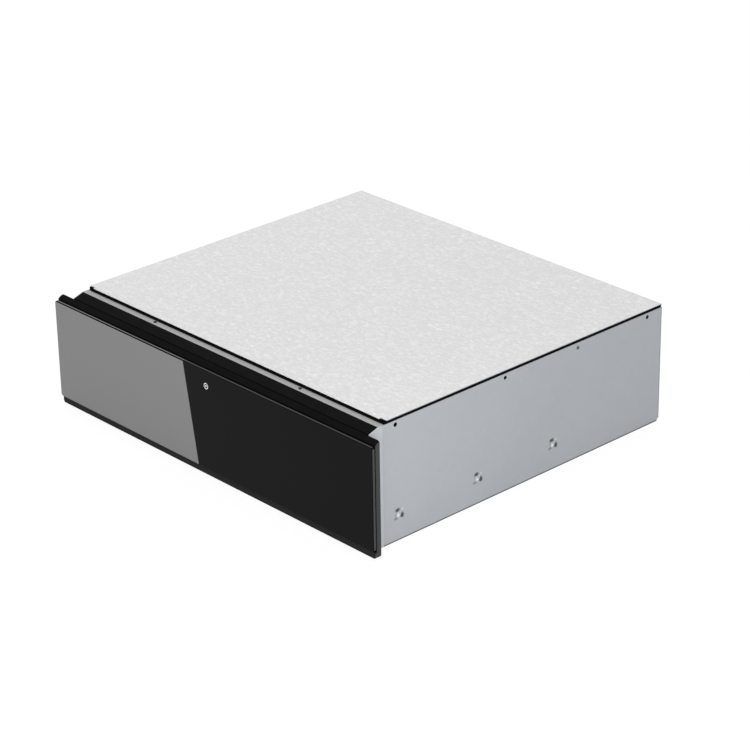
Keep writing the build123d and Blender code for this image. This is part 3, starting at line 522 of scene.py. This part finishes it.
def motorIron():
    # stacked sheets along the shaft, with the copper winding above: each a line of equal ridges,
    # twice the distance from the middle of its step
    look = Look("motor_iron")
    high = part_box("fan_motor")[1]
    x, y, z = look.axes()
    layer = abs(look.maths("FRACT", y * (1000 / motor["layer"])) - 0.5) * 2
    winding = abs(look.maths("FRACT", x * (1000 / motor["winding"])) - 0.5) * 2
    coilFrom = high.z - motor["coilHeight"] / 1000
    coil = look.edge(z, coilFrom, coilFrom + 0.0002)
    iron = look.mix(layer, motor["ironDark"], motor["ironLight"])
    copper = look.mix(winding, motor["copperDark"], motor["copperLight"])
    look.finish(
        colour=look.mix(coil, iron, copper),
        metal=motor["metal"],
        rough=motor["rough"] + look.noise(1.5) * 0.12,
        normal=look.bump(layer * (1 - coil) + winding * coil, motor["ridgeDepth"]),
    )


motorIron()

print("making the dark and plastic looks")

glassFace = dict(
    black=fromScreen(10, 10, 10),
    reflectionGrey=fromScreen(135, 135, 135),
    edgeHighlight=fromScreen(72, 73, 73),
    edgeHighlightPale=fromScreen(124, 125, 125),
    faceDepth=0.3,
    border=1.2,
    endsFrom=0.9,
    crownHighlightBand=(1.7, 2.8),
    mark=fromScreen(242, 242, 242),
    splitTop=millimetres(-40.4, 147.9),
    splitFoot=millimetres(-18.3, 15.1),
    markPlace=millimetres(2.7, 127.6),
    ringRadius=4.0,
    ringLine=1.0,
    dotRadius=1.3,
    rough=0.05,
    rimRough=0.8,
    glint=0.05,
)


def glassLook():
    # black-backed glass with a grey field left of a slanted line, which is a painted reflection, and
    # a small
    # printed push symbol: a ring of steady width round a dot; the ground edge at both ends and along
    # the top carries painted highlights
    look = Look("front_glass")
    g = glassFace
    low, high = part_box("front_glass")
    x, y, z = look.axes()
    deep = (y - low.y) * 1000
    (topX, topZ), (footX, footZ) = g["splitTop"], g["splitFoot"]
    lean = (topX - footX) / (topZ - footZ)
    split = x - (z - footZ) * lean
    # painted reflection: the grey field left of the slanted line
    reflectionField = 1 - look.edge(split, footX - 0.0002, footX + 0.0002)
    markX, markZ = g["markPlace"]
    away = ((x - markX) ** 2 + (z - markZ) ** 2) ** 0.5 * 1000
    soft = 0.1
    ring = look.between(away, g["ringRadius"] - g["ringLine"], g["ringRadius"], soft)
    dot = 1 - look.edge(away, g["dotRadius"] - soft, g["dotRadius"] + soft)
    front = 1 - look.edge(deep, g["faceDepth"], g["faceDepth"] + 2 * soft)
    mark = (ring + dot) * front
    below = (high.z - z) * 1000
    inside = look.edge(below, g["border"] - soft, g["border"])
    tone = look.mix(reflectionField * front * inside, g["black"], g["reflectionGrey"])
    thin = g["faceDepth"] / 1000
    ends = look.edge(abs(x), high.x - thin, high.x - thin + soft / 1000)
    crown = look.edge(z, high.z - thin, high.z - thin + soft / 1000)
    past = look.edge(deep, g["endsFrom"] - soft / 2, g["endsFrom"] + soft / 2)
    band = look.between(deep, *g["crownHighlightBand"], soft / 2)
    rim = look.maths("MAXIMUM", ends, crown)
    tone = look.mix(rim, tone, g["black"])
    # painted highlight on the edge: mid grey, paler above the grey field where the painted reflection
    # runs on
    edgeHighlightTone = look.mix(reflectionField * crown, g["edgeHighlight"], g["edgeHighlightPale"])
    tone = look.mix(look.maths("MAXIMUM", past * ends, band * crown), tone, edgeHighlightTone)
    ripple = look.noise(90, 1)
    dust = look.noise(2.5, 4, 0.7)
    look.finish(
        colour=look.mix(mark, tone, g["mark"]),
        rough=g["rough"] + look.edge(dust, 0.45, 0.9) * 0.06 + rim * (1 - past) * g["rimRough"],
        glint=g["glint"],
        normal=look.bump(ripple, 0.02, look.rounded(0.15)),
    )


glassLook()


def moulded(name, colour, worn, rough, glint, grain, grainDepth, roundEdge=0.4):
    # moulded plastic or rubber: fine grain, a little paler where it is rubbed
    look = Look(name)
    skin = look.noise(grain, 3, 0.6)
    rubbed = look.noise(grain * 30, 3, 0.55)
    look.finish(
        colour=look.mix(look.edge(rubbed, 0.35, 0.8), colour, worn),
        rough=rough + skin * 0.1,
        glint=glint,
        normal=look.bump(skin, grainDepth, look.rounded(roundEdge)),
    )


moulded("black_trim", fromScreen(10, 10, 10), fromScreen(15, 15, 15), 0.42, 0.022, 0.7, 0.02)
moulded("black_rubber", fromScreen(22, 22, 22), fromScreen(34, 34, 34), 0.66, 0.25, 0.8, 0.03)
moulded("grip_rubber", fromScreen(52, 53, 55), fromScreen(64, 65, 67), 0.62, 0.3, 0.6, 0.03)
moulded("inner_plastic", fromScreen(208, 206, 198), fromScreen(196, 193, 184), 0.45, 0.4, 0.7, 0.015)


inkFilm = dict(dark=fromScreen(40, 40, 42), light=fromScreen(62, 62, 64), rough=0.5, glint=0.3)


def printLook():
    # dark screen print with a slightly uneven film
    look = Look("deck_print")
    film = look.noise(0.5, 3)
    look.finish(
        colour=look.mix(film, inkFilm["dark"], inkFilm["light"]),
        rough=inkFilm["rough"] + film * 0.1,
        glint=inkFilm["glint"],
    )


printLook()

carrier = dict(
    colour=fromScreen(8, 8, 8),
    worn=fromScreen(12, 12, 12),
    lip=fromScreen(36, 36, 36),
    lipHeight=8.1,
    ends=fromScreen(69, 69, 69),
    endDepth=0.5,
    rough=0.42,
    glint=0.032,
)


def carrierLook():
    # black plastic whose end faces are painted paler as a reflection, and whose lower lip is paler
    look = Look("carrier_plastic")
    low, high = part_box("front_carrier")
    x, y, z = look.axes()
    skin = look.noise(0.7, 3, 0.6)
    rubbed = look.noise(20, 3, 0.55)
    lipTop = low.z + carrier["lipHeight"] / 1000
    lip = 1 - look.edge(z, lipTop, lipTop + 0.0002)
    # painted reflection: the end faces paler
    endFrom = high.x - carrier["endDepth"] / 1000
    ends = look.edge(abs(x), endFrom, endFrom + 0.0001)
    tone = look.mix(look.edge(rubbed, 0.35, 0.8), carrier["colour"], carrier["worn"])
    tone = look.mix(lip, tone, carrier["lip"])
    look.finish(
        colour=look.mix(ends, tone, carrier["ends"]),
        rough=carrier["rough"] + skin * 0.1,
        glint=carrier["glint"],
        normal=look.bump(skin, 0.02, look.rounded(0.4)),
    )


carrierLook()


felt = dict(
    dark=fromScreen(3, 3, 3),
    light=fromScreen(16, 16, 17),
    hair=0.5,
    tuft=4.0,
    rough=0.92,
    glint=0.05,
)


def feltLook():
    # pressed black fibre mat: tangled short hairs
    look = Look("black_felt")
    hairs = look.noise(felt["hair"], 4, 0.7, (1, 1, 2.5), 2.0)
    tufts = look.noise(felt["tuft"], 3)
    look.finish(
        colour=look.mix(hairs * 0.6 + tufts * 0.4, felt["dark"], felt["light"]),
        rough=felt["rough"],
        glint=felt["glint"],
        normal=look.bump(hairs, 0.15),
    )


feltLook()


knob = dict(
    colour=fromScreen(30, 30, 31),
    line=fromScreen(232, 232, 230),
    lineHalf=0.7,
    lineFrom=3.2,
    lineTo=8.8,
    lineDepth=0.8,
    rough=0.4,
    glint=0.35,
)


def knobLook():
    # black knob with a white line in its pointer groove
    look = Look("knob_plastic")
    low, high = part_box("temperature_knob")
    middle = (low + high) / 2
    x, y, z = look.axes()
    soft = 0.05
    across = look.between((x - middle.x) * 1000, -knob["lineHalf"], knob["lineHalf"], soft)
    along = look.between((y - middle.y) * 1000, knob["lineFrom"], knob["lineTo"], soft)
    lineFoot = high.z - knob["lineDepth"] / 1000
    line = across * along * look.edge(z, lineFoot, lineFoot + 0.0001)
    skin = look.noise(0.6, 3)
    look.finish(
        colour=look.mix(line, knob["colour"], knob["line"]),
        rough=knob["rough"] + skin * 0.12,
        glint=knob["glint"],
        normal=look.bump(skin, 0.01, look.rounded(0.25)),
    )


knobLook()


rocker = dict(
    colour=fromScreen(28, 28, 29),
    sign=fromScreen(230, 230, 228),
    signAt=0.28,
    ringFrom=1.1,
    ringTo=1.6,
    lineHalf=0.25,
    lineReach=1.5,
    rough=0.36,
    glint=0.35,
)


def rockerLook():
    # black rocker with a white circle on its off side and a white line on its on side
    look = Look("rocker_plastic")
    low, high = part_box("power_rocker")
    middle = (low + high) / 2
    x, y, z = look.axes()
    reach = (high.x - low.x) * rocker["signAt"]
    ringX = (x - middle.x - reach) * 1000
    lineX = (x - middle.x + reach) * 1000
    signY = (y - middle.y) * 1000
    away = (ringX**2 + signY**2) ** 0.5
    ring = look.between(away, rocker["ringFrom"], rocker["ringTo"], 0.08)
    across = look.between(lineX, -rocker["lineHalf"], rocker["lineHalf"], 0.06)
    line = across * look.between(signY, -rocker["lineReach"], rocker["lineReach"], 0.06)
    skin = look.noise(0.6, 3)
    look.finish(
        colour=look.mix(ring + line, rocker["colour"], rocker["sign"]),
        rough=rocker["rough"] + skin * 0.12,
        glint=rocker["glint"],
        normal=look.bump(skin, 0.01, look.rounded(0.25)),
    )


rockerLook()


lens = dict(
    dark=fromScreen(150, 12, 10),
    light=fromScreen(206, 38, 30),
    facet=1.1,
    rough=0.12,
    coat=0.5,
)


def lampLook():
    # a red lens with small facets under a clear coat
    look = Look("lamp_red")
    facets = look.cells(lens["facet"])
    share = look.node("SeparateColor", values={0: facets}, result="Green")
    look.finish(
        colour=look.mix(share, lens["dark"], lens["light"]),
        rough=lens["rough"] + share * 0.08,
        coat=lens["coat"],
        normal=look.bump(share, 0.08),
    )


lampLook()

print("putting the looks on the CAD nodes")

ownLooks = dict(
    front_rail_top="rail_steel",
    power_rocker="rocker_plastic",
    front_carrier="carrier_plastic",
    side_panel_right="side_steel",
    side_panel_left="side_steel",
    side_screws="screw_dull",
    rail_screws="pressed_screw",
)
slots = {part["node"]: part["material_slot"] for part in frame["record"]["subparts"]}
for name, thing in frame["nodes"].items():
    material = looks[ownLooks.get(name, slots[name])]
    if not thing.material_slots:
        thing.data.materials.append(material)
    for place in thing.material_slots:
        place.material = material


def addPiece(name, mesh, look, body):
    mesh.materials.clear()
    mesh.materials.append(looks[look])
    thing = bpy.data.objects.new(name, mesh)
    bpy.context.scene.collection.objects.link(thing)
    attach(thing, body)


print("raising the nubs of the grip mat")

nubs = dict(
    pitch=9.0,
    radius=2.2,
    height=0.9,
    rings=((1.0, 0.0), (0.8, 0.7), (0.4, 1.0)),
    sides=8,
    edgeGap=9.0,
)


def gripNubs():
    # rows of low domes: each is a ring at the mat, a smaller ring higher up and the smallest on top,
    # every ring being radius times its share, at height times its share
    low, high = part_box("grip_mat")
    lengths = (nubs[k] for k in ("pitch", "radius", "height", "edgeGap"))
    pitch, radius, height, edgeGap = millimetres(*lengths)
    countX = int((high.x - low.x - 2 * edgeGap) / pitch)
    countY = int((high.y - low.y - 2 * edgeGap) / pitch)
    middle = (low + high) / 2
    gridX = (np.arange(countX + 1) - countX / 2) * pitch + middle.x
    gridY = (np.arange(countY + 1) - countY / 2) * pitch + middle.y
    centres = np.stack(np.meshgrid(gridX, gridY), -1).reshape(-1, 2)
    sides = nubs["sides"]
    turn = np.arange(sides) * 2 * math.pi / sides
    rings = [(radius * wide, height * up) for wide, up in nubs["rings"]]
    dome = np.concatenate(
        [np.stack([r * np.cos(turn), r * np.sin(turn), np.full_like(turn, z)], -1) for r, z in rings]
    )
    places = np.concatenate([centres, np.full((len(centres), 1), high.z)], 1)
    points = (places[:, None] + dome[None]).reshape(-1, 3)
    around = np.arange(sides)
    onward = (around + 1) % sides
    starts = np.arange(len(centres))[:, None, None] * len(dome)
    wall = np.stack([around, onward, onward + sides, around + sides], -1)
    walls = [wall + ring * sides for ring in range(len(rings) - 1)]
    wallFaces = (np.concatenate(walls)[None] + starts).reshape(-1, 4)
    caps = (len(rings) - 1) * sides + around[None] + starts[:, 0]
    mesh = bpy.data.meshes.new("grip_nubs")
    mesh.from_pydata(points.tolist(), [], wallFaces.tolist() + caps.tolist())
    mesh.shade_smooth()
    addPiece("grip_nubs", mesh, "grip_rubber", "drawer")


gripNubs()

print("printing the dial on the deck")

dial = dict(
    marks=("0", "30", "40", "50", "60", "70", "80"),
    start=90.0,
    step=45.0,
    between=3,
    tickFrom=16.9,
    tickTo=17.6,
    longTo=18.0,
    tickWidth=0.28,
    figureAt=19.9,
    figureSize=2.4,
    lift=0.03,
)


def flatText(words, size):
    # a line of text as a flat mesh, centred on its own origin
    curve = bpy.data.curves.new("figure", "FONT")
    curve.body = words
    curve.size = size
    curve.align_x = "CENTER"
    curve.align_y = "CENTER"
    curve.resolution_u = 3
    thing = bpy.data.objects.new("figure", curve)
    bpy.context.scene.collection.objects.link(thing)
    evaluated = thing.evaluated_get(bpy.context.evaluated_depsgraph_get())
    mesh = bpy.data.meshes.new_from_object(evaluated)
    bpy.data.objects.remove(thing)
    return mesh


def dialPrint():
    # ticks from one radius out to another round the knob, with upright figures beyond the long ones
    low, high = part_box("temperature_knob")
    middle = (low + high) / 2
    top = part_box("control_deck")[1].z + dial["lift"] / 1000
    count = (len(dial["marks"]) - 1) * dial["between"]
    turn = np.radians(dial["start"] - np.arange(count + 1) * dial["step"] / dial["between"])
    long = np.arange(count + 1) % dial["between"] == 0
    tips = np.where(long, dial["longTo"], dial["tickTo"])
    out = np.stack([np.cos(turn), np.sin(turn)], -1)
    across = np.stack([-out[:, 1], out[:, 0]], -1) * dial["tickWidth"] / 2
    inner = out * dial["tickFrom"]
    outer = out * tips[:, None]
    corners = np.stack([inner - across, outer - across, outer + across, inner + across], 1)
    corners = corners.reshape(-1, 2) / 1000 + (middle.x, middle.y)
    points = np.concatenate([corners, np.full((len(corners), 1), top)], 1)
    faces = np.arange(len(points)).reshape(-1, 4)
    mesh = bpy.data.meshes.new("dial_ticks")
    mesh.from_pydata(points.tolist(), [], faces.tolist())
    addPiece("dial_ticks", mesh, "deck_print", "drawer")
    for i, words in enumerate(dial["marks"]):
        angle = math.radians(dial["start"] - i * dial["step"])
        spot = Vector((math.cos(angle), math.sin(angle), 0)) * dial["figureAt"] / 1000
        mesh = flatText(words, dial["figureSize"] / 1000)
        mesh.transform(Matrix.Translation((middle.x + spot.x, middle.y + spot.y, top)))
        addPiece("dial_figure_" + words, mesh, "deck_print", "drawer")


dialPrint()

print("setting the stage")

stage = dict(
    floorHalf=20.0,
    floorDrop=0.0002,
    floorTone=0.82,
    shadowShare=0.14,
    floorGlow=1.07,
    ambient=0.55,
)


def seenRays(graph):
    # 1 for rays from the camera, and for those that metal and glass send on
    kinds = ("Is Camera Ray", "Is Glossy Ray", "Is Transmission Ray")
    rays = [graph.node("LightPath", result=kind) for kind in kinds]
    return graph.maths("MAXIMUM", graph.maths("MAXIMUM", rays[0], rays[1]), rays[2])


def makeWorld():
    # even white: full strength where it is seen, and weaker where it lights matt surfaces
    world = bpy.data.worlds.new("studio")
    world.use_nodes = True
    graph = Graph(world.node_tree)
    strength = stage["ambient"] + seenRays(graph) * (1 - stage["ambient"])
    background = graph.node("Background", values={"Color": (1, 1, 1, 1), "Strength": strength})
    output = graph.tree.nodes.new("ShaderNodeOutputWorld")
    graph.tree.links.new(background.end, output.inputs["Surface"])
    bpy.context.scene.world = world


def makeFloor():
    # a plain white floor just under the base, which takes only a share of the shadow
    half = stage["floorHalf"]
    mesh = bpy.data.meshes.new("floor")
    outline = ((-half, -half), (half, -half), (half, half), (-half, half))
    corners = [(x, y, -stage["floorDrop"]) for x, y in outline]
    mesh.from_pydata(corners, [], [(0, 1, 2, 3)])
    material = bpy.data.materials.new("paleFloor")
    material.use_nodes = True
    graph = Graph(material.node_tree)
    tone = stage["floorTone"]
    matt = graph.node("BsdfDiffuse", values={"Color": (tone, tone, tone, 1)})
    light = graph.node("Emission", values={"Color": (1, 1, 1, 1), "Strength": stage["floorGlow"]})
    shown = graph.node("MixShader", values={0: stage["shadowShare"], 1: light, 2: matt})
    whole = graph.node("MixShader", values={0: seenRays(graph), 1: matt, 2: shown})
    output = graph.tree.nodes.new("ShaderNodeOutputMaterial")
    graph.tree.links.new(whole.end, output.inputs["Surface"])
    mesh.materials.append(material)
    floor = bpy.data.objects.new("floor", mesh)
    bpy.context.scene.collection.objects.link(floor)


makeWorld()
makeFloor()

lamps = (
    dict(name="overhead", place=(-0.6, 0.45, 2.5), aim=(0, 0.1, 0.1), size=2.6, watts=27),
    dict(name="rightSide", place=(0.95, -0.75, 0.4), aim=(0.277, -0.15, 0.08), size=0.5, watts=4),
    dict(name="frontLeft", place=(-1.6, -2.6, 1.2), aim=(-0.1, -0.2, 0.08), size=1.8, watts=22),
)


def makeLamp(name, place, aim, size, watts):
    light = bpy.data.lights.new(name, "AREA")
    light.shape = "SQUARE"
    light.size = size
    light.energy = watts
    lamp = bpy.data.objects.new(name, light)
    lamp.location = place
    lamp.rotation_euler = (Vector(aim) - Vector(place)).to_track_quat("-Z", "Y").to_euler()
    lamp.visible_glossy = False
    lamp.visible_camera = False
    bpy.context.scene.collection.objects.link(lamp)


for lamp in lamps:
    makeLamp(**lamp)

print("placing the camera")

shot = dict(
    aim=(0.0, -0.225, 0.162),
    azimuth=47.438,
    elevation=25.082,
    roll=-0.969,
    distance=3.3149,
    slideRight=0.17683,
    slideUp=-0.03348,
    lens=131.267,
    clipStart=0.05,
)


def placeCamera():
    # stands back from the aim point, slides across the view, then rolls about its own axis
    azimuth, elevation, roll = (math.radians(shot[k]) for k in ("azimuth", "elevation", "roll"))
    right = Vector((math.cos(azimuth), math.sin(azimuth), 0))
    level = Vector((math.sin(azimuth), -math.cos(azimuth), 0))
    back = level * math.cos(elevation) + Vector((0, 0, math.sin(elevation)))
    up = back.cross(right)
    place = Vector(shot["aim"]) + back * shot["distance"]
    place += right * shot["slideRight"] + up * shot["slideUp"]
    turn = Matrix((right, up, back)).transposed() @ Matrix.Rotation(roll, 3, "Z")
    camera = bpy.data.objects.new("camera", bpy.data.cameras.new("camera"))
    camera.data.lens = shot["lens"]
    camera.data.clip_start = shot["clipStart"]
    camera.matrix_world = Matrix.Translation(place) @ turn.to_4x4()
    bpy.context.scene.collection.objects.link(camera)
    bpy.context.scene.camera = camera


placeCamera()
bpy.context.scene.view_settings.view_transform = "Standard"
